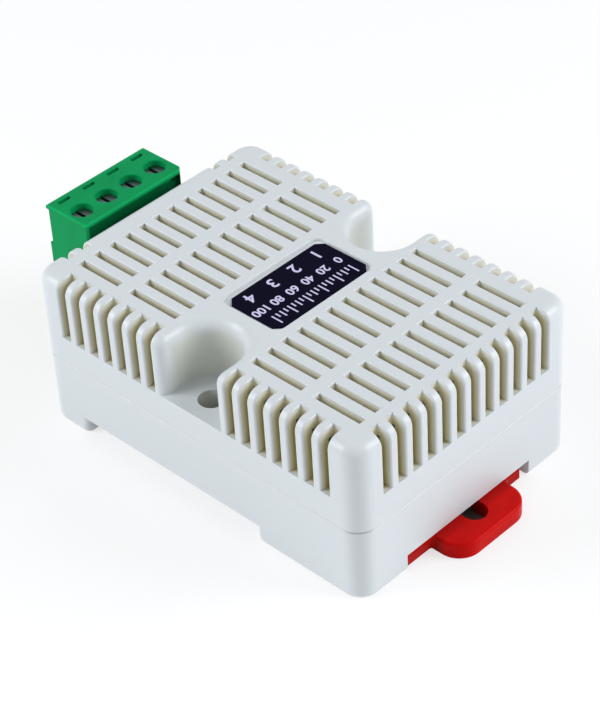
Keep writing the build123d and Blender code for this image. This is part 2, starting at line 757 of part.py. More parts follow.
# Header: open-fronted shroud on the board, closed at the back round its pins
with BuildPart() as header_shell:
    with BuildSketch(Plane.XY.offset(board_top)):
        with Locations(((header_mouth + header_rear) / 2, 0)):
            Rectangle(header_depth, header_width)
    extrude(amount=header_height)
    with BuildSketch(Plane.XY.offset(header_cavity_floor)):
        with Locations(((header_mouth + header_cavity_end) / 2, 0)):
            Rectangle(header_cavity_end - header_mouth, header_cavity_width)
        with Locations((header_mouth, 0)):
            Rectangle(overrun, header_cavity_width)
    extrude(amount=header_cavity_height, mode=Mode.SUBTRACT)
    with BuildSketch(Plane.YZ.offset(header_cavity_end)):
        with Locations((0, pin_axis_height)):
            with GridLocations(pole_pitch, pole_pitch, pole_count, 1):
                Rectangle(pin_size, pin_size)
    extrude(amount=header_back, mode=Mode.SUBTRACT)
keep(header_shell, "header_shell")

# Header pins: square wire, bent down through the board
pin_tip = header_mouth + pin_setback
with BuildPart() as header_pins:
    with BuildSketch(Plane.YZ.offset(pin_tip)):
        with Locations((0, pin_axis_height)):
            with GridLocations(pole_pitch, pole_pitch, pole_count, 1):
                Rectangle(pin_size, pin_size)
    extrude(amount=pin_leg_x + pin_size / 2 - pin_tip)
    with BuildSketch(Plane.XY.offset(board_bottom - pin_tail)):
        with Locations((pin_leg_x, 0)):
            with GridLocations(pole_pitch, pole_pitch, 1, pole_count):
                Rectangle(pin_size, pin_size)
    extrude(amount=pin_axis_height + pin_size / 2 - board_bottom + pin_tail)
keep(header_pins, "header_pins")

# Plug body: tall block with a screw well, a wire entry and a contact channel for each pole
with BuildPart() as plug_shell:
    with BuildSketch(Plane.XY.offset(plug_bottom)):
        with Locations(((plug_front + plug_back) / 2, 0)):
            Rectangle(plug_depth, plug_width)
    extrude(amount=plug_height)
    with BuildSketch(Plane.YZ.offset(plug_back)):
        with Locations((0, pin_axis_height)):
            Rectangle(nose_width, nose_height)
    extrude(amount=nose_length)

    # Wire side set back between the top lip and the step
    lip_height = plug_height - plug_step_height - plug_top_plate
    with BuildSketch(Plane.XY.offset(plug_step)):
        with Locations((plug_front + (plug_lip - overrun) / 2, 0)):
            Rectangle(plug_lip + overrun, plug_width + 2 * overrun)
    extrude(amount=lip_height, mode=Mode.SUBTRACT)

    # Shallow recess in the housing side, with a small pocket at its far end
    back_floor = plug_bottom + back_recess_floor
    back_ceiling = plug_top - plug_top_plate
    with BuildSketch(Plane.XY.offset(back_floor)):
        with Locations((plug_back - (back_recess_depth - overrun) / 2, 0)):
            Rectangle(back_recess_depth + overrun, plug_width - 2 * back_recess_wall)
    extrude(amount=back_ceiling - back_floor, mode=Mode.SUBTRACT)
    pocket_y = plug_width / 2 - 2 * back_recess_wall - release_pocket_width / 2
    with BuildSketch(Plane.XY.offset(back_ceiling - release_pocket_height)):
        with Locations((plug_back - (release_pocket_depth - overrun) / 2, pocket_y)):
            Rectangle(release_pocket_depth + overrun, release_pocket_width)
    extrude(amount=release_pocket_height, mode=Mode.SUBTRACT)

    # Clipped corner that keys the plug, and a softened rim
    with BuildSketch(Plane.XY.offset(back_floor)):
        with BuildLine():
            Polyline(
                (plug_back - key_corner, plug_width / 2 + overrun),
                (plug_back - key_corner, plug_width / 2),
                (plug_back, plug_width / 2 - key_corner),
                (plug_back + overrun, plug_width / 2 - key_corner),
                (plug_back + overrun, plug_width / 2 + overrun),
                close=True,
            )
        make_face()
    extrude(amount=plug_top - back_floor, mode=Mode.SUBTRACT)
    fillet(plug_shell.edges().group_by(Axis.Z)[-1], plug_edge_radius)

    # Screw wells, with a shank hole under each and a rounded rim
    with BuildSketch(Plane.XY.offset(well_floor)):
        with Locations((screw_x, 0)):
            with GridLocations(pole_pitch, pole_pitch, 1, pole_count):
                Circle(screw_well_radius)
    extrude(amount=plug_height, mode=Mode.SUBTRACT)
    well_rims = plug_shell.faces().sort_by(Axis.Z)[-1].inner_wires().edges()
    fillet(well_rims, well_rim_radius)
    with BuildSketch(Plane.XY.offset(pocket_top)):
        with Locations((screw_x, 0)):
            with GridLocations(pole_pitch, pole_pitch, 1, pole_count):
                Circle(shank_radius + running_gap)
    extrude(amount=well_shoulder, mode=Mode.SUBTRACT)

    # Cage pocket, wire entry, contact channel, mouth and marker slot of each pole
    for place in pole_places:
        with BuildSketch(Plane.XY.offset(pocket_bottom)):
            with Locations(((pocket_start + pocket_end) / 2, place)):
                Rectangle(pocket_end - pocket_start, pocket_width)
        extrude(amount=pocket_top - pocket_bottom, mode=Mode.SUBTRACT)
        with BuildSketch(Plane.XY.offset(pocket_bottom)):
            with Locations(((plug_front - overrun + pocket_start) / 2, place)):
                Rectangle(pocket_start - plug_front + overrun, pocket_width)
        extrude(amount=entry_top - pocket_bottom, mode=Mode.SUBTRACT)
        with BuildSketch(Plane.XY.offset(contact_bottom)):
            with Locations(((pocket_end + nose_tip - mouth_depth) / 2, place)):
                Rectangle(nose_tip - mouth_depth - pocket_end, contact_width + 2 * running_gap)
        extrude(amount=bar_top + running_gap - contact_bottom, mode=Mode.SUBTRACT)
        with BuildSketch(Plane.YZ.offset(nose_tip - mouth_depth)):
            with Locations((place, pin_axis_height)):
                Rectangle(mouth_size, mouth_size)
        extrude(amount=mouth_depth, mode=Mode.SUBTRACT)
        with BuildSketch(Plane.XY.offset(plug_top)):
            with Locations((plug_front + marker_slot_setback + marker_slot_width / 2, place)):
                Rectangle(marker_slot_width, marker_slot_length)
        extrude(amount=-marker_slot_depth, mode=Mode.SUBTRACT)
keep(plug_shell, "plug_shell")

# Spring contacts: a bar that the cage closes on, a block in the wall and two blades round the pin
with BuildPart() as plug_contacts:
    bar_end = pocket_start + slide_gap
    with BuildSketch(Plane.XY.offset(bar_bottom)):
        with Locations(((bar_end + contact_start) / 2, 0)):
            with GridLocations(pole_pitch, pole_pitch, 1, pole_count):
                Rectangle(contact_start - bar_end, clamp_bar_width)
    extrude(amount=clamp_bar_thickness)
    with BuildSketch(Plane.XY.offset(contact_bottom)):
        with Locations(((contact_start + blade_start) / 2, 0)):
            with GridLocations(pole_pitch, pole_pitch, 1, pole_count):
                Rectangle(contact_block_length, contact_width)
    extrude(amount=bar_top - contact_bottom)
    with BuildSketch(Plane.XY.offset(pin_axis_height - blade_height / 2)):
        for place in pole_places:
            with Locations((blade_start + blade_length / 2, place)):
                with GridLocations(2 * blade_offset, 2 * blade_offset, 1, 2):
                    Rectangle(blade_length, blade_thickness)
    extrude(amount=blade_height)
keep(plug_contacts, "plug_contacts")

# Clamp screws and cages, one of each to a pole
for number, place in enumerate(pole_places, start=1):
    with BuildPart() as plug_screw:
        with BuildSketch(Plane.XY.offset(screw_tip)):
            with Locations((screw_x, place)):
                Circle(shank_radius)
        extrude(amount=screw_head_bottom - screw_tip)
        with BuildSketch(Plane.XY.offset(screw_head_bottom)):
            with Locations((screw_x, place)):
                Circle(screw_head_radius)
        extrude(amount=screw_head_height)
        with BuildSketch(Plane.XY.offset(screw_head_bottom + screw_head_height)):
            with Locations((screw_x, place)):
                Rectangle(2 * screw_head_radius + overrun, driver_groove_width)
        extrude(amount=-driver_groove_depth, mode=Mode.SUBTRACT)
    keep(plug_screw, f"plug_screw_{number}")

    with BuildPart() as plug_cage:
        with BuildSketch(Plane.XY.offset(cage_bottom)):
            with Locations((screw_x, place)):
                Rectangle(cage_length, cage_width)
        extrude(amount=cage_top - cage_bottom)
        with BuildSketch(Plane.XY.offset(cage_bottom + cage_floor)):
            with Locations((screw_x, place)):
                Rectangle(cage_length + 2 * overrun, cage_width - 2 * cage_side)
        extrude(amount=cage_top - cage_bottom - cage_floor - cage_roof, mode=Mode.SUBTRACT)
        with BuildSketch(Plane.XY.offset(cage_top)):
            with Locations((screw_x, place)):
                Circle(shank_radius + running_gap)
        extrude(amount=-cage_roof - overrun, mode=Mode.SUBTRACT)
    keep(plug_cage, f"plug_cage_{number}")

# Humidity and temperature sensor on the board's island, with a port in its top
with BuildPart() as sensor_chip:
    with BuildSketch(Plane.XY.offset(board_top)):
        with Locations((sensor_x, 0)):
            Rectangle(sensor_size, sensor_size)
    extrude(amount=sensor_height)
    with BuildSketch(Plane.XY.offset(board_top + sensor_height)):
        with Locations((sensor_x, 0)):
            Circle(sensor_port_radius)
    extrude(amount=-sensor_height / 2, mode=Mode.SUBTRACT)
keep(sensor_chip, "sensor_chip")


def leaded_chip(place, size, leads, pitch, sides=2):
    """Makes a moulded chip with a row of leads along two or four of its sides."""
    length, width, height = size
    with BuildPart() as chip:
        with BuildSketch(Plane.XY.offset(board_top)):
            with Locations(place):
                Rectangle(length, width)
        extrude(amount=height)
        with BuildSketch(Plane.XY.offset(board_top)):
            with Locations(place):
                with GridLocations(length, pitch, 2, leads):
                    Rectangle(2 * lead_reach, chip_lead_width)
                if sides == 4:
                    with GridLocations(pitch, width, leads, 2):
                        Rectangle(chip_lead_width, 2 * lead_reach)
        extrude(amount=chip_lead_height)
    return chip


controller_block = (controller_size, controller_size, controller_height)
controller_place = (controller_x, 0)
microcontroller = leaded_chip(
    controller_place, controller_block, controller_lead_count, controller_pitch, sides=4
)
keep(microcontroller, "microcontroller")

transceiver_block = (transceiver_width, transceiver_length, transceiver_height)
transceiver_place = (transceiver_x, transceiver_y)
bus_transceiver = leaded_chip(transceiver_place, transceiver_block, transceiver_lead_count, transceiver_pitch)
keep(bus_transceiver, "bus_transceiver")

regulator_block = (regulator_width, regulator_length, regulator_height)
regulator_place = (regulator_x, regulator_y)
voltage_regulator = leaded_chip(regulator_place, regulator_block, regulator_lead_count, regulator_pitch)
keep(voltage_regulator, "voltage_regulator")

# Filter capacitor: a can with a drawn-in neck on a square base
with BuildPart() as filter_capacitor:
    with BuildSketch(Plane.XY.offset(board_top)) as capacitor_foot:
        with Locations((capacitor_x, capacitor_y)):
            Rectangle(capacitor_base, capacitor_base)
        chamfer(capacitor_foot.vertices().group_by(Axis.X)[-1], capacitor_base_height)
    extrude(amount=capacitor_base_height)
    with BuildSketch(Plane.XY.offset(board_top + capacitor_base_height)):
        with Locations((capacitor_x, capacitor_y)):
            Circle(capacitor_radius)
    extrude(amount=capacitor_height - capacitor_base_height)
    with BuildSketch(Plane.XY.offset(board_top + 2 * capacitor_base_height)):
        with Locations((capacitor_x, capacitor_y)):
            Circle(capacitor_radius + overrun)
            Circle(capacitor_radius - capacitor_neck, mode=Mode.SUBTRACT)
    extrude(amount=capacitor_neck, mode=Mode.SUBTRACT)
keep(filter_capacitor, "filter_capacitor")

# Power inductor: a square shield with a round core in a ring groove
with BuildPart() as power_inductor:
    with BuildSketch(Plane.XY.offset(board_top)) as inductor_outline:
        with Locations((inductor_x, inductor_y)):
            Rectangle(inductor_size, inductor_size)
        chamfer(inductor_outline.vertices(), inductor_groove)
    extrude(amount=inductor_height)
    with BuildSketch(Plane.XY.offset(board_top + inductor_height)):
        with Locations((inductor_x, inductor_y)):
            Circle(inductor_core_radius + inductor_groove)
            Circle(inductor_core_radius, mode=Mode.SUBTRACT)
    extrude(amount=-inductor_groove, mode=Mode.SUBTRACT)
keep(power_inductor, "power_inductor")

# Protection diodes behind the header
with BuildPart() as protection_diodes:
    with BuildSketch(Plane.XY.offset(board_top)):
        with Locations((diode_x, 0)):
            with GridLocations(diode_pitch, diode_pitch, 1, diode_count):
                Rectangle(diode_length, diode_width)
    extrude(amount=diode_height)
    with BuildSketch(Plane.XY.offset(board_top)):
        with Locations((diode_x, 0)):
            with GridLocations(diode_pitch, diode_pitch, 1, diode_count):
                Rectangle(diode_length + lead_reach, diode_width / 2)
    extrude(amount=chip_lead_height)
keep(protection_diodes, "protection_diodes")

# Chip resistors in two columns, and chip capacitors beside the chips
with BuildPart() as chip_resistors:
    with BuildSketch(Plane.XY.offset(board_top)):
        for place in resistor_places:
            with Locations(place):
                with GridLocations(chip_pitch, chip_pitch, resistor_column_count, resistor_row_count):
                    Rectangle(chip_length, chip_width)
    extrude(amount=chip_height)
keep(chip_resistors, "chip_resistors")

with BuildPart() as chip_capacitors:
    with BuildSketch(Plane.XY.offset(board_top)):
        for place in chip_capacitor_places:
            with Locations(place):
                with GridLocations(chip_pitch, chip_pitch, 1, chip_capacitor_row_count):
                    Rectangle(chip_length, chip_width)
    extrude(amount=chip_cap_height)
keep(chip_capacitors, "chip_capacitors")

# Crystal beside the microcontroller
with BuildPart() as crystal:
    with BuildSketch(Plane.XY.offset(board_top)):
        with Locations((crystal_x, crystal_y)):
            RectangleRounded(crystal_length, crystal_width, crystal_corner_radius)
    extrude(amount=crystal_height)
keep(crystal, "crystal")

# Status light: a flat base with a dome
with BuildPart() as status_led:
    with BuildSketch(Plane.XY.offset(board_top)):
        with Locations((led_x, led_y)):
            Rectangle(led_length, led_width)
    extrude(amount=led_base_height)
    with BuildSketch(Plane.XY.offset(board_top + led_base_height)):
        with Locations((led_x, led_y)):
            Circle(led_dome_radius)
    extrude(amount=led_dome_radius)
    fillet(status_led.edges().group_by(Axis.Z)[-1], led_dome_radius - fit_gap)
keep(status_led, "status_led")
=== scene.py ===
import math

import bmesh
import bpy
from mathutils import Matrix, Vector


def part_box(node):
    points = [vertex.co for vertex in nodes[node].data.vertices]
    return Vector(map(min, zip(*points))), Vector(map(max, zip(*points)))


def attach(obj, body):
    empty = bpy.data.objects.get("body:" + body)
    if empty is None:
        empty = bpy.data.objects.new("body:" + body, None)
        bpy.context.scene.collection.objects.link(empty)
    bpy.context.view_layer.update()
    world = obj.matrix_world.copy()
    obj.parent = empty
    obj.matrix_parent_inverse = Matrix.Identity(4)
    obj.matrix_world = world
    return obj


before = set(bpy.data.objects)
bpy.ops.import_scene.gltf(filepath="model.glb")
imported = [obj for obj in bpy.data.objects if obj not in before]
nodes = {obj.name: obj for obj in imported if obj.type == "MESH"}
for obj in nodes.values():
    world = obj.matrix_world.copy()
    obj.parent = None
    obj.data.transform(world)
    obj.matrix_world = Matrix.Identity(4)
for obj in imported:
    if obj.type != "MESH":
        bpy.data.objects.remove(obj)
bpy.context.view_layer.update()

# A vented temperature and humidity sensor for a rail or a wall, dressed for the studio.
# Lengths are written in millimetres here and turned into metres with mm.

mm = 0.001


class Wire:
    # A node's output; Python's operators on it add Math nodes

    def __init__(self, graph, socket):
        self.graph = graph
        self.socket = socket

    def out(self, name):
        # Another output of the same node
        return Wire(self.graph, self.socket.node.outputs[name])

    def to(self, operation, *others):
        return self.graph.add("ShaderNodeMath", {"operation": operation}, dict(enumerate((self, *others))))

    def __add__(self, other):
        return self.to("ADD", other)

    def __mul__(self, other):
        return self.to("MULTIPLY", other)

    def __sub__(self, other):
        return self.to("SUBTRACT", other)

    def __rsub__(self, other):
        return self.graph.add("ShaderNodeMath", {"operation": "SUBTRACT"}, {0: other, 1: self})

    def __truediv__(self, other):
        return self.to("DIVIDE", other)

    def __gt__(self, other):
        return self.to("GREATER_THAN", other)

    def __lt__(self, other):
        return self.to("LESS_THAN", other)

    def __abs__(self):
        return self.to("ABSOLUTE")

    __radd__ = __add__
    __rmul__ = __mul__


class Graph:
    # A node tree, shader or geometry, whose nodes all come from add

    def __init__(self, tree):
        self.tree = tree

    def add(self, kind, settings=None, inputs=None, output=0):
        node = self.tree.nodes.new(kind)
        for name, value in (settings or {}).items():
            if name == "stops":
                self.setStops(node.color_ramp, value)
            else:
                setattr(node, name, value)
        for key, value in (inputs or {}).items():
            self.feed(node.inputs[key], value)
        return node if output is None else Wire(self, node.outputs[output])

    def setStops(self, ramp, stops):
        while len(ramp.elements) < len(stops):
            ramp.elements.new(1.0)
        for element, (position, shade) in zip(ramp.elements, stops):
            element.position = position
            element.color = (*shade, 1.0)

    def feed(self, socket, value):
        if isinstance(value, Wire):
            self.tree.links.new(value.socket, socket)
        else:
            socket.default_value = value


class Paint(Graph):
    # A material on the Principled shader, with patterns in millimetres of the object

    def __init__(self, name, **fixed):
        self.material = bpy.data.materials.new(name)
        self.material.use_nodes = True
        super().__init__(self.material.node_tree)
        self.shader = self.tree.nodes["Principled BSDF"]
        for socket, value in fixed.items():
            self.shader.inputs[socket.replace("_", " ")].default_value = value
        corner = self.add("ShaderNodeTexCoord", output="Object")
        self.place = self.add("ShaderNodeVectorMath", {"operation": "SCALE"}, {0: corner, "Scale": 1 / mm})
        split = self.add("ShaderNodeSeparateXYZ", inputs={0: self.place})
        self.across = [split.out(axis) for axis in "XYZ"]

    def noise(self, size, detail=2.0, rough=0.5, stretch=None):
        # Size is the width of a blotch in millimetres; stretch squeezes it along each axis
        where = self.place
        if stretch:
            where = self.add("ShaderNodeVectorMath", {"operation": "MULTIPLY"}, {0: where, 1: stretch})
        inputs = {"Vector": where, "Scale": 1 / size, "Detail": detail, "Roughness": rough}
        return self.add("ShaderNodeTexNoise", inputs=inputs)

    def ramp(self, value, low, high):
        # 0 at low, 1 at high, smooth between
        settings = {"interpolation_type": "SMOOTHSTEP"}
        return self.add("ShaderNodeMapRange", settings, {"Value": value, "From Min": low, "From Max": high})

    def graded(self, value, places, shades):
        # A colour that runs through the shades as the value passes their places, between 0 and 1
        return self.add("ShaderNodeValToRGB", {"stops": list(zip(places, shades))}, {0: value})

    def mix(self, share, first, second):
        a, b = [(*shade, 1.0) if isinstance(shade, tuple) else shade for shade in (first, second)]
        return self.add("ShaderNodeMix", {"data_type": "RGBA"}, {0: share, 6: a, 7: b}, output=2)

    def tint(self, shade, value):
        # The shade made lighter or darker by value, which is 1 where nothing changes
        grey = self.add("ShaderNodeCombineXYZ", inputs={0: value, 1: value, 2: value})
        return self.add("ShaderNodeVectorMath", {"operation": "MULTIPLY"}, {0: shade, 1: grey})

    def bump(self, height, depth):
        # Depth is in millimetres
        return self.add("ShaderNodeBump", inputs={"Height": height, "Distance": depth * mm})

    def finish(self, **linked):
        for socket, value in linked.items():
            self.feed(self.shader.inputs[socket.replace("_", " ")], value)
        return self.material


def boxMillimetres(node):
    low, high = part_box(node)
    return Vector(low) / mm, Vector(high) / mm


def roundedInside(first, second, radius):
    # How deep a point lies inside two faces that meet in a rounding, given its depth under each
    a, b = first - radius, second - radius
    past = a.to("MINIMUM", 0.0).to("POWER", 2.0) + b.to("MINIMUM", 0.0).to("POWER", 2.0)
    return a.to("MINIMUM", b).to("MAXIMUM", 0.0) + radius - past.to("SQRT")


# Housing

housingLook = {
    "outer": (0.680, 0.718, 0.732),         # cool white of the outer skin
    "warm": (0.760, 0.735, 0.600),          # painted warm shade just inside the vents
    "deep": (0.530, 0.480, 0.290),          # painted deeper shade further in, seen from the top
    "side": (0.490, 0.425, 0.170),          # painted deeper shade further in, seen from the sides
    "notch": (0.600, 0.615, 0.565),         # painted shade on the walls of the screw notches
    "seam": 12.4,                           # where the lid meets the base
    "seamHalf": (0.08, 0.26),
    "seamShade": 0.25,
    "cornerRadius": 3.2,
    "topRadius": 2.0,
    "ventDepth": 2.2,                       # the places below are shares of it
    "topPlaces": (0.06, 0.34, 0.95),        # outer, painted warm shade and painted deep shade
    "sidePlaces": (0.06, 0.26, 0.62),       # outer, painted warm shade and painted side shade
    "sideDrop": (1.0, 3.5),                 # the painted shade of the side vents takes over this far below the top
    "notchHalf": 7.0,
    "notchDepth": (0.6, 3.5),
    "notchFloor": 17.3,
    "floorBand": 0.15,                      # keeps the notch floor itself out of the painted shade, in the outer tone
    "specular": 0.45,
    "roughness": 0.36,
    "grainSize": 0.22,
    "grainDepth": 0.006,
    "mottleSize": 7.0,
}


def housingPlastic():
    look = housingLook
    paint = Paint("housing plastic", Specular_IOR_Level=look["specular"])
    low, high = boxMillimetres("lid_cover")
    middle, half = (low + high) / 2, (high - low) / 2
    x, y, z = paint.across
    fromMiddle = abs(x - middle.x)
    plan = roundedInside(half.x - fromMiddle, half.y - abs(y - middle.y), look["cornerRadius"])
    depth = roundedInside(plan, high.z - z, look["topRadius"])
    lid = z > look["seam"]
    vents = (fromMiddle > look["notchHalf"]) * lid
    # Painted shade: inside the vents the colour darkens and warms with depth under the skin
    share = depth / look["ventDepth"]
    fromTop = paint.graded(share, look["topPlaces"], (look["outer"], look["warm"], look["deep"]))
    fromSide = paint.graded(share, look["sidePlaces"], (look["outer"], look["warm"], look["side"]))
    ventShade = paint.mix(paint.ramp(high.z - z, *look["sideDrop"]), fromTop, fromSide)
    # Painted shade on the notch walls, growing with depth under the skin
    walls = (abs(z - look["notchFloor"]) > look["floorBand"]) * (fromMiddle < look["notchHalf"]) * lid
    notches = paint.ramp(depth, *look["notchDepth"]) * walls
    seam = 1 - paint.ramp(abs(z - look["seam"]), *look["seamHalf"])
    mottle = paint.noise(look["mottleSize"], 3.0)
    fine = paint.noise(look["grainSize"], 4.0, 0.6)
    vented = paint.mix(vents, look["outer"], ventShade)
    skin = paint.mix(notches, vented, look["notch"])
    shade = paint.tint(skin, 0.985 + 0.02 * mottle + 0.01 * fine - look["seamShade"] * seam)
    grain = paint.bump(fine, look["grainDepth"])
    roughness = look["roughness"] - 0.04 + 0.08 * mottle
    return paint.finish(Base_Color=shade, Roughness=roughness, Normal=grain)


# Latch, plug and header

latchLook = {
    "colour": (0.620, 0.0045, 0.0030), "low": (0.520, 0.0035, 0.0025), "specular": 0.05,
    "roughness": 0.34, "grainSize": 0.18, "grainDepth": 0.004,
    "root": (2.9, 4.6), "rootShade": 0.35,              # painted shade towards the housing, starting this far in from the tab's end
}
plugLook = {
    "colour": (0.0030, 0.305, 0.092), "low": (0.0025, 0.265, 0.076), "specular": 0.05,
    "roughness": 0.42, "grainSize": 0.15, "grainDepth": 0.005,
    "nose": 8.2,                                        # the part inside the header
    # Painted shade in the recess on the housing side, by these sizes
    "recessShade": 0.58, "recessFloor": 8.2, "recessWall": 0.5, "recessTop": 0.62,
    "recessLip": 0.05, "pocketDepth": 1.1, "recessFade": 0.5,
    "rimWidth": (0.12, 0.42), "rimLight": 0.35,         # painted highlight along the edges round the top
}


def mouldedPlastic(name, look, paintedLight=None):
    # Flow of the melt shows as faint bands between two near shades; painted shade and highlights, passed
    # in, lighten or darken places
    paint = Paint(name, Specular_IOR_Level=look["specular"])
    flow = paint.noise(4.0, 3.0, stretch=(1.0, 0.35, 1.0))
    fine = paint.noise(look["grainSize"], 3.0)
    banded = paint.graded(flow, (0.30, 0.55), (look["low"], look["colour"]))
    value = 0.985 + 0.03 * fine
    if paintedLight:
        value = value * paintedLight(paint)
    grain = paint.bump(fine, look["grainDepth"])
    roughness = look["roughness"] - 0.03 + 0.08 * flow
    return paint.finish(Base_Color=paint.tint(banded, value), Roughness=roughness, Normal=grain)


# Painted shade on the tab's root and the plate, where the housing's edge shades them
def latchRootShade(paint):
    end = boxMillimetres("din_latch")[1].x
    return 1 - latchLook["rootShade"] * paint.ramp(end - paint.across[0], *latchLook["root"])


def plugShadeAndHighlight(paint):
    # Painted shade in the recess on the housing side, painted highlight along the edges of the top
    look = plugLook
    low, high = boxMillimetres("plug_shell")
    back = high.x - look["nose"]
    x, y, z = paint.across
    fromMiddle = abs(y - (low.y + high.y) / 2)
    halfWidth = (high.y - low.y) / 2
    inRecess = (z > low.z + look["recessFloor"]) * (z < high.z - look["recessTop"])
    inRecess = inRecess * (fromMiddle < halfWidth - look["recessWall"]) * (x < back - look["recessLip"])
    start = back - look["pocketDepth"]
    # Painted shade in the recess, strongest towards the housing side
    dull = inRecess * paint.ramp(x, start - look["recessFade"], start)
    fromSide = (halfWidth - fromMiddle).to("MINIMUM", x - low.x).to("MINIMUM", back - x)
    # Painted highlight along the edges of the top
    rim = (1 - paint.ramp(high.z - z, *look["rimWidth"])) * (1 - paint.ramp(fromSide, *look["rimWidth"]))
    return 1 - look["recessShade"] * dull + look["rimLight"] * rim


# Metals

def platedMetal(name, colour, roughness, brushSize=0.12, stretch=(0.08, 1.0, 1.0), depth=0.003):
    paint = Paint(name, Metallic=1.0)
    brush = paint.noise(brushSize, 3.0, stretch=stretch)
    dull = paint.noise(1.3, 3.0)
    shade = paint.tint(colour, 0.86 + 0.16 * dull + 0.10 * brush)
    grain = paint.bump(brush, depth)
    return paint.finish(Base_Color=shade, Roughness=roughness + 0.16 * dull, Normal=grain)


# Label

labelLook = {
    "film": (0.0022, 0.0018, 0.0110), "print": (0.660, 0.620, 0.860), "specular": 0.02, "roughness": 0.40,
}


def labelFilm():
    paint = Paint("label film", Specular_IOR_Level=labelLook["specular"])
    weave = paint.noise(0.35, 4.0)
    wipe = paint.noise(5.0, 3.0, stretch=(0.5, 1.0, 1.0))
    shade = paint.tint(labelLook["film"], 0.85 + 0.3 * wipe)
    grain = paint.bump(weave, 0.004)
    roughness = labelLook["roughness"] - 0.05 + 0.12 * wipe
    return paint.finish(Base_Color=shade, Roughness=roughness, Normal=grain)


def labelPrint():
    paint = Paint("label print", Specular_IOR_Level=labelLook["specular"])
    speck = paint.noise(0.12, 3.0)
    shade = paint.tint(labelLook["print"], 0.9 + 0.2 * speck)
    return paint.finish(Base_Color=shade, Roughness=0.45 + 0.1 * speck)


# Board and its parts

boardLook = {
    "mask": (0.010, 0.120, 0.045), "track": (0.030, 0.230, 0.085), "trackPitch": 1.27,
    "trackEdges": (0.30, 0.52), "wander": 1.6, "patchEdge": 0.47,
}
chipLook = {"mould": (0.017, 0.017, 0.018), "tin": (0.62, 0.61, 0.58), "leadTop": 0.62}


def boardLaminate():
    paint = Paint("board laminate", Coat_Weight=0.3)
    wander = paint.noise(9.0, 1.0)
    lanes = (paint.across[1] / boardLook["trackPitch"] + boardLook["wander"] * wander).to("FRACT")
    low, high = boardLook["trackEdges"]
    track = (lanes > low) * (lanes < high) * (paint.noise(4.0, 0.0) > boardLook["patchEdge"])
    weave = paint.noise(0.3, 2.0)
    shade = paint.tint(paint.mix(track, boardLook["mask"], boardLook["track"]), 0.95 + 0.1 * weave)
    relief = paint.bump(track + 0.2 * weave, 0.03)
    return paint.finish(Base_Color=shade, Roughness=0.30 + 0.1 * weave, Normal=relief)


def leadedMould(name, node, leadReach):
    # Black mould with tinned leads, told apart by how far out and how low a point lies
    paint = Paint(name)
    low, high = boxMillimetres(node)
    fromMiddle = abs(paint.across[0] - (low.x + high.x) / 2)
    leadEdge = (high.x - low.x) / 2 - leadReach
    lead = (fromMiddle > leadEdge) * (paint.across[2] < low.z + chipLook["leadTop"])
    sand = paint.noise(0.10, 3.0)
    shade = paint.tint(paint.mix(lead, chipLook["mould"], chipLook["tin"]), 0.85 + 0.3 * sand)
    grain = paint.bump(sand, 0.006)
    return paint.finish(Base_Color=shade, Metallic=lead, Roughness=0.55 - 0.2 * lead, Normal=grain)


def speckled(name, colour, roughness, size, depth, amount=0.3):
    paint = Paint(name)
    speck = paint.noise(size, 3.0)
    shade = paint.tint(colour, 1 - amount / 2 + amount * speck)
    grain = paint.bump(speck, depth)
    return paint.finish(Base_Color=shade, Roughness=roughness + 0.1 * speck, Normal=grain)


def cover(names, material):
    for name in names:
        data = nodes[name].data
        data.materials.clear()
        data.materials.append(material)


cover(["base_shell", "lid_cover"], housingPlastic())
cover(["plug_shell"], mouldedPlastic("terminal plastic", plugLook, plugShadeAndHighlight))
cover(["header_shell"], mouldedPlastic("header plastic", plugLook))
cover(["din_latch"], mouldedPlastic("latch plastic", latchLook, latchRootShade))
cover(["label_sheet"], labelFilm())
cover(["circuit_board"], boardLaminate())
cover(["header_pins"], platedMetal("tinned pins", (0.70, 0.69, 0.66), 0.22))
cover(["plug_contacts"], platedMetal("tinned contacts", (0.68, 0.67, 0.63), 0.25))
screwSteel = platedMetal("zinc screws", (0.120, 0.165, 0.170), 0.30, 0.07, (1.0, 0.15, 1.0))
cover([f"plug_screw_{k}" for k in range(1, 5)], screwSteel)
cover([f"plug_cage_{k}" for k in range(1, 5)], platedMetal("nickel cages", (0.52, 0.51, 0.48), 0.28))
for chip, reach in (("microcontroller", 1.1), ("bus_transceiver", 1.1), ("voltage_regulator", 1.1),
                    ("protection_diodes", 0.5)):
    cover([chip], leadedMould(f"{chip} mould", chip, reach))
cover(["sensor_chip"], speckled("sensor mould", (0.52, 0.52, 0.49), 0.5, 0.12, 0.004, 0.15))
cover(["filter_capacitor"], platedMetal("can aluminium", (0.74, 0.74, 0.75), 0.3, 0.2, (1.0, 1.0, 0.1)))
cover(["crystal"], platedMetal("crystal can", (0.62, 0.62, 0.60), 0.25))
cover(["power_inductor"], speckled("ferrite", (0.045, 0.046, 0.050), 0.6, 0.16, 0.012))
cover(["chip_resistors"], speckled("resistor body", (0.020, 0.020, 0.022), 0.35, 0.25, 0.004))
cover(["chip_capacitors"], speckled("ceramic body", (0.42, 0.29, 0.17), 0.4, 0.2, 0.004))
cover(["status_led"], speckled("light lens", (0.80, 0.78, 0.62), 0.2, 0.2, 0.002, 0.1))
print("materials on", len(nodes), "nodes")


# What repeats comes from geometry trees

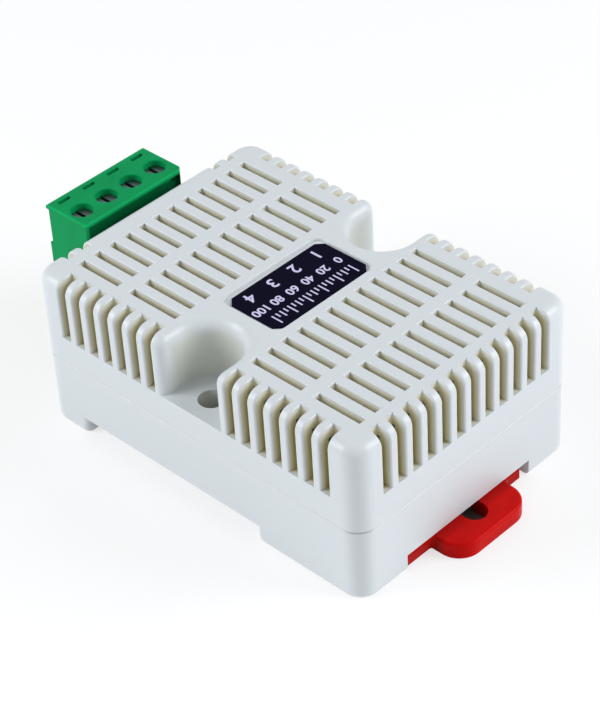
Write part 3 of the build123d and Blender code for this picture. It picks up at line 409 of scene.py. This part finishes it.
def openTree(name, sizes):
    # A tree with a named input for each size and for the material
    tree = bpy.data.node_groups.new(name, "GeometryNodeTree")
    kinds = {int: "NodeSocketInt", float: "NodeSocketFloat", Vector: "NodeSocketVector"}
    tree.interface.new_socket(name="Geometry", in_out="INPUT", socket_type="NodeSocketGeometry")
    for label, value in sizes.items():
        tree.interface.new_socket(name=label, in_out="INPUT", socket_type=kinds[type(value)])
    tree.interface.new_socket(name="Material", in_out="INPUT", socket_type="NodeSocketMaterial")
    tree.interface.new_socket(name="Geometry", in_out="OUTPUT", socket_type="NodeSocketGeometry")
    graph = Graph(tree)
    return graph, graph.add("NodeGroupInput")


def closeTree(graph, shape, given):
    real = graph.add("GeometryNodeRealizeInstances", inputs={0: shape})
    material = given.out("Material")
    dressed = graph.add("GeometryNodeSetMaterial", inputs={"Geometry": real, "Material": material})
    graph.add("NodeGroupOutput", inputs={0: dressed}, output=None)


def grown(name, graph, sizes, material, points=()):
    # Runs the tree with these sizes on a piece with these points, and keeps the plain mesh
    data = bpy.data.meshes.new(f"{name} seed")
    data.from_pydata(points, [], [])
    seed = bpy.data.objects.new(f"{name} seed", data)
    bpy.context.scene.collection.objects.link(seed)
    modifier = seed.modifiers.new("grow", "NODES")
    modifier.node_group = graph.tree
    values = {**sizes, "Material": material}
    for item in graph.tree.interface.items_tree:
        if item.in_out == "INPUT" and item.name in values:
            modifier[item.identifier] = values[item.name]
    bpy.context.view_layer.update()
    mesh = bpy.data.meshes.new_from_object(seed.evaluated_get(bpy.context.evaluated_depsgraph_get()))
    seed.modifiers.remove(modifier)
    bpy.data.objects.remove(seed)
    mesh.name = name
    piece = bpy.data.objects.new(name, mesh)
    bpy.context.scene.collection.objects.link(piece)
    return piece


def carried(piece, body):
    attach(piece, body)
    return piece


# Label marks: plain numbers for the terminals, and a graduated scale

markSizes = {
    "thickness": 0.03,
    "weight": 0.045,                # how much the strokes are thickened
    "terminalHeight": 2.1,
    "terminalPitch": 4.6,
    "terminalRow": -3.3,            # from the middle of the label, towards the plug
    "numberHeight": 1.5,
    "numberRow": 0.1,
    "scaleStart": 8.0,
    "scaleLength": 16.0,
    "scaleRow": 2.2,
    "terminals": 4,
    "scaleParts": 5,
    "scaleStep": 20,
    "tickCount": 21,
    "tickWidth": 0.24,
    "tickShort": 1.0,
    "tickMiddle": 1.5,
    "tickLong": 2.2,
}
capShare = 0.70                     # height of a numeral as a share of the font's size


def labelTop():
    low, high = boxMillimetres("label_sheet")
    return Vector(((low.x + high.x) / 2, (low.y + high.y) / 2, high.z))


def numeral(words, height, x, y):
    # Reads towards -Y, with its top towards +X
    curve = bpy.data.curves.new(f"numeral {words}", "FONT")
    curve.body = words
    curve.size = height / capShare * mm
    curve.align_x = "CENTER"
    curve.align_y = "CENTER"
    curve.extrude = markSizes["thickness"] / 2 * mm
    curve.offset = markSizes["weight"] * mm
    holder = bpy.data.objects.new(f"numeral {words}", curve)
    bpy.context.scene.collection.objects.link(holder)
    bpy.context.view_layer.update()
    mesh = bpy.data.meshes.new_from_object(holder.evaluated_get(bpy.context.evaluated_depsgraph_get()))
    top = labelTop()
    place = Vector((top.x + x, top.y + y, top.z + markSizes["thickness"] / 2)) * mm
    mesh.transform(Matrix.Translation(place) @ Matrix.Rotation(-math.pi / 2, 4, "Z"))
    bpy.data.objects.remove(holder)
    return mesh


def joined(name, meshes, material):
    # One object from several meshes
    whole = bmesh.new()
    for mesh in meshes:
        whole.from_mesh(mesh)
    data = bpy.data.meshes.new(name)
    whole.to_mesh(data)
    whole.free()
    data.materials.clear()
    data.materials.append(material)
    for polygon in data.polygons:
        polygon.material_index = 0
    piece = bpy.data.objects.new(name, data)
    bpy.context.scene.collection.objects.link(piece)
    return piece


def tickTree(sizes):
    graph, given = openTree("label ticks", sizes)
    line = graph.add("GeometryNodeMeshLine", {"mode": "OFFSET"}, {
        "Count": given.out("Count"), "Start Location": given.out("Start"), "Offset": given.out("Step"),
    })
    index = graph.add("GeometryNodeInputIndex")
    short, middle, long = (given.out(label) for label in ("Short", "Middle", "Long"))
    length = short + (index.to("MODULO", 2.0) < 0.5) * (middle - short)
    length = length + (index.to("MODULO", 4.0) < 0.5) * (long - middle)
    section = {0: 1.0, 1: given.out("Width"), 2: given.out("Thickness")}
    size = graph.add("ShaderNodeCombineXYZ", inputs=section)
    bar = graph.add("GeometryNodeMeshCube", inputs={"Size": size})
    base = graph.add("GeometryNodeTransform", inputs={"Geometry": bar, "Translation": (0.5, 0.0, 0.0)})
    stretch = graph.add("ShaderNodeCombineXYZ", inputs={0: length, 1: 1.0, 2: 1.0})
    spread = {"Points": line, "Instance": base, "Scale": stretch}
    ticks = graph.add("GeometryNodeInstanceOnPoints", inputs=spread)
    closeTree(graph, ticks, given)
    return graph


def makeLabelMarks():
    size = markSizes
    printInk = labelPrint()
    top = labelTop()
    meshes = []
    for k in range(size["terminals"]):
        y = ((size["terminals"] - 1) / 2 - k) * size["terminalPitch"]
        meshes.append(numeral(str(k + 1), size["terminalHeight"], size["terminalRow"], y))
    for k in range(size["scaleParts"] + 1):
        y = size["scaleStart"] - k * size["scaleLength"] / size["scaleParts"]
        meshes.append(numeral(str(size["scaleStep"] * k), size["numberHeight"], size["numberRow"], y))
    numbers = carried(joined("label_numbers", meshes, printInk), "housing")
    start = top + Vector((size["scaleRow"], size["scaleStart"], size["thickness"] / 2))
    sizes = {
        "Count": size["tickCount"],
        "Start": start * mm,
        "Step": Vector((0.0, -size["scaleLength"] / (size["tickCount"] - 1), 0.0)) * mm,
        "Short": size["tickShort"] * mm,
        "Middle": size["tickMiddle"] * mm,
        "Long": size["tickLong"] * mm,
        "Width": size["tickWidth"] * mm,
        "Thickness": size["thickness"] * mm,
    }
    ticks = carried(grown("label_scale", tickTree(sizes), sizes, printInk), "housing")
    print("label marks:", len(numbers.data.vertices) + len(ticks.data.vertices), "vertices")


makeLabelMarks()


# Threads on the clamp screws

threadSizes = {"pitch": 0.45, "crest": 1.287, "ridge": 0.09, "runout": 0.5, "head": 1.5}


def threadTree(sizes):
    graph, given = openTree("screw thread", sizes)
    radius = given.out("Radius")
    helix = graph.add("GeometryNodeCurveSpiral", inputs={
        "Resolution": 20, "Rotations": given.out("Turns"), "Start Radius": radius, "End Radius": radius,
        "Height": given.out("Height"),
    })
    profile = {"Resolution": 4, "Radius": given.out("Ridge")}
    ridge = graph.add("GeometryNodeCurvePrimitiveCircle", inputs=profile)
    swept = {"Curve": helix, "Profile Curve": ridge, "Fill Caps": True}
    coil = graph.add("GeometryNodeCurveToMesh", inputs=swept)
    placed = graph.add("GeometryNodeTransform", inputs={"Geometry": coil, "Translation": given.out("Foot")})
    closeTree(graph, placed, given)
    return graph


def makeThreads():
    graph = None
    for k in range(1, 5):
        low, high = boxMillimetres(f"plug_screw_{k}")
        height = high.z - low.z - threadSizes["head"] - threadSizes["runout"] - threadSizes["ridge"]
        foot = Vector(((low.x + high.x) / 2, (low.y + high.y) / 2, low.z + threadSizes["ridge"]))
        sizes = {
            "Radius": (threadSizes["crest"] - threadSizes["ridge"]) * mm,
            "Turns": height / threadSizes["pitch"],
            "Height": height * mm,
            "Ridge": threadSizes["ridge"] * mm,
            "Foot": foot * mm,
        }
        graph = graph or threadTree(sizes)
        carried(grown(f"screw_thread_{k}", graph, sizes, screwSteel), f"screw_{k}")
    print("threads on 4 screws")


makeThreads()


# Solder at the header's legs and metal ends on the small chips

solderSizes = {
    "pinSize": 1.0, "tipRadius": 0.62, "footRadius": 1.35, "rise": 0.8, "pitch": 5.08, "count": 4,
}
endSizes = {"length": 0.34, "proud": 0.02}


def solidBoxes(name):
    # Lowest and highest corner of each separate solid in a CAD node
    copy = bmesh.new()
    copy.from_mesh(nodes[name].data)
    bmesh.ops.remove_doubles(copy, verts=copy.verts, dist=1e-7)
    met = set()
    boxes = []
    for start in copy.verts:
        if start in met:
            continue
        met.add(start)
        front, group = [start], []
        while front:
            vertex = front.pop()
            group.append(vertex.co / mm)
            for edge in vertex.link_edges:
                other = edge.other_vert(vertex)
                if other not in met:
                    met.add(other)
                    front.append(other)
        low = Vector([min(point[k] for point in group) for k in range(3)])
        high = Vector([max(point[k] for point in group) for k in range(3)])
        boxes.append((low, high))
    copy.free()
    return boxes


def solderTree(sizes):
    graph, given = openTree("solder joints", sizes)
    line = graph.add("GeometryNodeMeshLine", {"mode": "OFFSET"}, {
        "Count": given.out("Count"), "Start Location": given.out("Start"), "Offset": given.out("Step"),
    })
    cone = graph.add("GeometryNodeMeshCone", inputs={
        "Vertices": 24, "Side Segments": 4,
        "Radius Top": given.out("Foot"), "Radius Bottom": given.out("Tip"), "Depth": given.out("Rise"),
    })
    joints = graph.add("GeometryNodeInstanceOnPoints", inputs={"Points": line, "Instance": cone})
    closeTree(graph, joints, given)
    return graph


def endTree(sizes):
    graph, given = openTree("chip ends", sizes)
    block = graph.add("GeometryNodeMeshCube", inputs={"Size": given.out("Size")})
    spread = {"Points": given.out("Geometry"), "Instance": block}
    ends = graph.add("GeometryNodeInstanceOnPoints", inputs=spread)
    closeTree(graph, ends, given)
    return graph


def makeSolderAndEnds():
    solder = platedMetal("solder", (0.66, 0.66, 0.65), 0.3, 0.4, (1.0, 1.0, 1.0), 0.01)
    size = solderSizes
    legs = boxMillimetres("header_pins")[1].x - size["pinSize"] / 2
    under = boxMillimetres("circuit_board")[0].z
    sizes = {
        "Count": size["count"],
        "Start": Vector((legs, -(size["count"] - 1) * size["pitch"] / 2, under - size["rise"])) * mm,
        "Step": Vector((0.0, size["pitch"], 0.0)) * mm,
        "Tip": size["tipRadius"] * mm,
        "Foot": size["footRadius"] * mm,
        "Rise": size["rise"] * mm,
    }
    carried(grown("solder_joints", solderTree(sizes), sizes, solder), "housing")
    graph = None
    for name in ("chip_resistors", "chip_capacitors"):
        boxes = solidBoxes(name)
        low, high = boxes[0]
        proud = endSizes["proud"]
        length = endSizes["length"]
        block = Vector((length, high.y - low.y + 2 * proud, high.z - low.z + proud))
        points = []
        for low, high in boxes:
            middle = (low + high) / 2
            for x in (low.x - proud + length / 2, high.x + proud - length / 2):
                points.append(Vector((x, middle.y, middle.z + proud / 2)) * mm)
        sizes = {"Size": block * mm}
        graph = graph or endTree(sizes)
        carried(grown(f"{name}_ends", graph, sizes, solder, points), "housing")
    print("solder and chip ends made")


makeSolderAndEnds()


# Studio

studio = {
    "floorHalf": 3000.0,
    "floorDrop": 0.02,              # under the feet
    "floorShade": 0.97,
    "floorGlow": 1.05,
    "underShade": 0.20,             # painted shade on the floor under the pull tab, seen through its slot
    "tabHalf": 6.0,
    "tabInset": 1.0,
    "worldStrength": 0.32,
    "leftPower": 2.5,               # from beside the camera, on the long side
    "leftPlace": (-330.0, -420.0, 330.0),
    "rightPower": 2.7,              # from the other side, on the latch end
    "rightPlace": (430.0, 320.0, 330.0),
    "lampSize": 380.0,
    "lampAim": (0.0, 0.0, 12.0),
    "lampTint": (0.96, 0.99, 1.04),
    "shadowShare": 0.35,            # how much of the floor's own shading the camera sees
}


def lamp(name, place, power):
    light = bpy.data.lights.new(name, "AREA")
    light.shape = "DISK"
    light.size = studio["lampSize"] * mm
    light.energy = power
    light.color = studio["lampTint"]
    holder = bpy.data.objects.new(name, light)
    holder.location = Vector(place) * mm
    aim = Vector(studio["lampAim"]) * mm - holder.location
    holder.rotation_mode = "QUATERNION"
    holder.rotation_quaternion = aim.to_track_quat("-Z", "Y")
    bpy.context.scene.collection.objects.link(holder)


def backgroundRays(graph):
    # 1 for what the camera, a reflection or a transmitted ray sees
    path = graph.add("ShaderNodeLightPath")
    camera, glossy, through = (path.out(f"Is {ray} Ray") for ray in ("Camera", "Glossy", "Transmission"))
    return camera.to("MAXIMUM", glossy).to("MAXIMUM", through)


def paleFloor():
    # White to the eye except for the part's shadow, with painted shade under the pull tab
    paint = Paint("pale floor", Roughness=0.9, Specular_IOR_Level=0.1)
    low, high = boxMillimetres("din_latch")
    x, y, _ = paint.across
    inset = studio["tabInset"]
    under = (x > low.x + inset) * (x < high.x - inset) * (abs(y) < studio["tabHalf"])
    # Painted shade: under the pull tab the floor's colour turns dark and its glow is left out
    pale, dull = (studio["floorShade"],) * 3, (studio["underShade"],) * 3
    paint.finish(Base_Color=paint.mix(under, pale, dull))
    white = {"Color": (1.0, 1.0, 1.0, 1.0), "Strength": studio["floorGlow"]}
    glow = paint.add("ShaderNodeEmission", inputs=white)
    seen = backgroundRays(paint) * (1 - under) * (1 - studio["shadowShare"])
    lit = Wire(paint, paint.shader.outputs[0])
    blend = paint.add("ShaderNodeMixShader", inputs={0: seen, 1: lit, 2: glow})
    paint.feed(paint.tree.nodes["Material Output"].inputs["Surface"], blend)
    return paint.material


def makeStudio():
    data = bpy.data.meshes.new("floor")
    half = studio["floorHalf"] * mm
    z = -studio["floorDrop"] * mm
    corners = [(-half, -half, z), (half, -half, z), (half, half, z), (-half, half, z)]
    data.from_pydata(corners, [], [(0, 1, 2, 3)])
    data.materials.append(paleFloor())
    floor = bpy.data.objects.new("floor", data)
    bpy.context.scene.collection.objects.link(floor)

    world = bpy.data.worlds.new("studio")
    bpy.context.scene.world = world
    world.use_nodes = True
    graph = Graph(world.node_tree)
    background = graph.tree.nodes["Background"]
    strength = backgroundRays(graph) * (1 - studio["worldStrength"]) + studio["worldStrength"]
    graph.feed(background.inputs["Color"], (1.0, 1.0, 1.0, 1.0))
    graph.feed(background.inputs["Strength"], strength)

    lamp("left lamp", studio["leftPlace"], studio["leftPower"])
    lamp("right lamp", studio["rightPlace"], studio["rightPower"])
    print("studio lit")


makeStudio()


# Camera, at the photograph's place

view = {
    "place": (200.65, -191.39, 232.34),
    "azimuth": 46.01,               # degrees round from looking along +Y
    "elevation": 38.54,
    "roll": -3.67,
    "lens": 118.4,                  # on a 36 mm sensor along the picture's height
}


def makeCamera():
    data = bpy.data.cameras.new("camera")
    data.lens = view["lens"]
    data.sensor_width = 36.0
    data.clip_start = 0.01
    data.clip_end = 20.0
    holder = bpy.data.objects.new("camera", data)
    turn, tilt = math.radians(view["azimuth"]), math.radians(view["elevation"])
    back = Vector((math.sin(turn) * math.cos(tilt), -math.cos(turn) * math.cos(tilt), math.sin(tilt)))
    level = (-back).to_track_quat("-Z", "Y")
    holder.rotation_mode = "QUATERNION"
    holder.rotation_quaternion = level @ Matrix.Rotation(math.radians(view["roll"]), 3, "Z").to_quaternion()
    holder.location = Vector(view["place"]) * mm
    bpy.context.scene.collection.objects.link(holder)
    bpy.context.scene.camera = holder


makeCamera()
bpy.context.scene.view_settings.view_transform = "Standard"
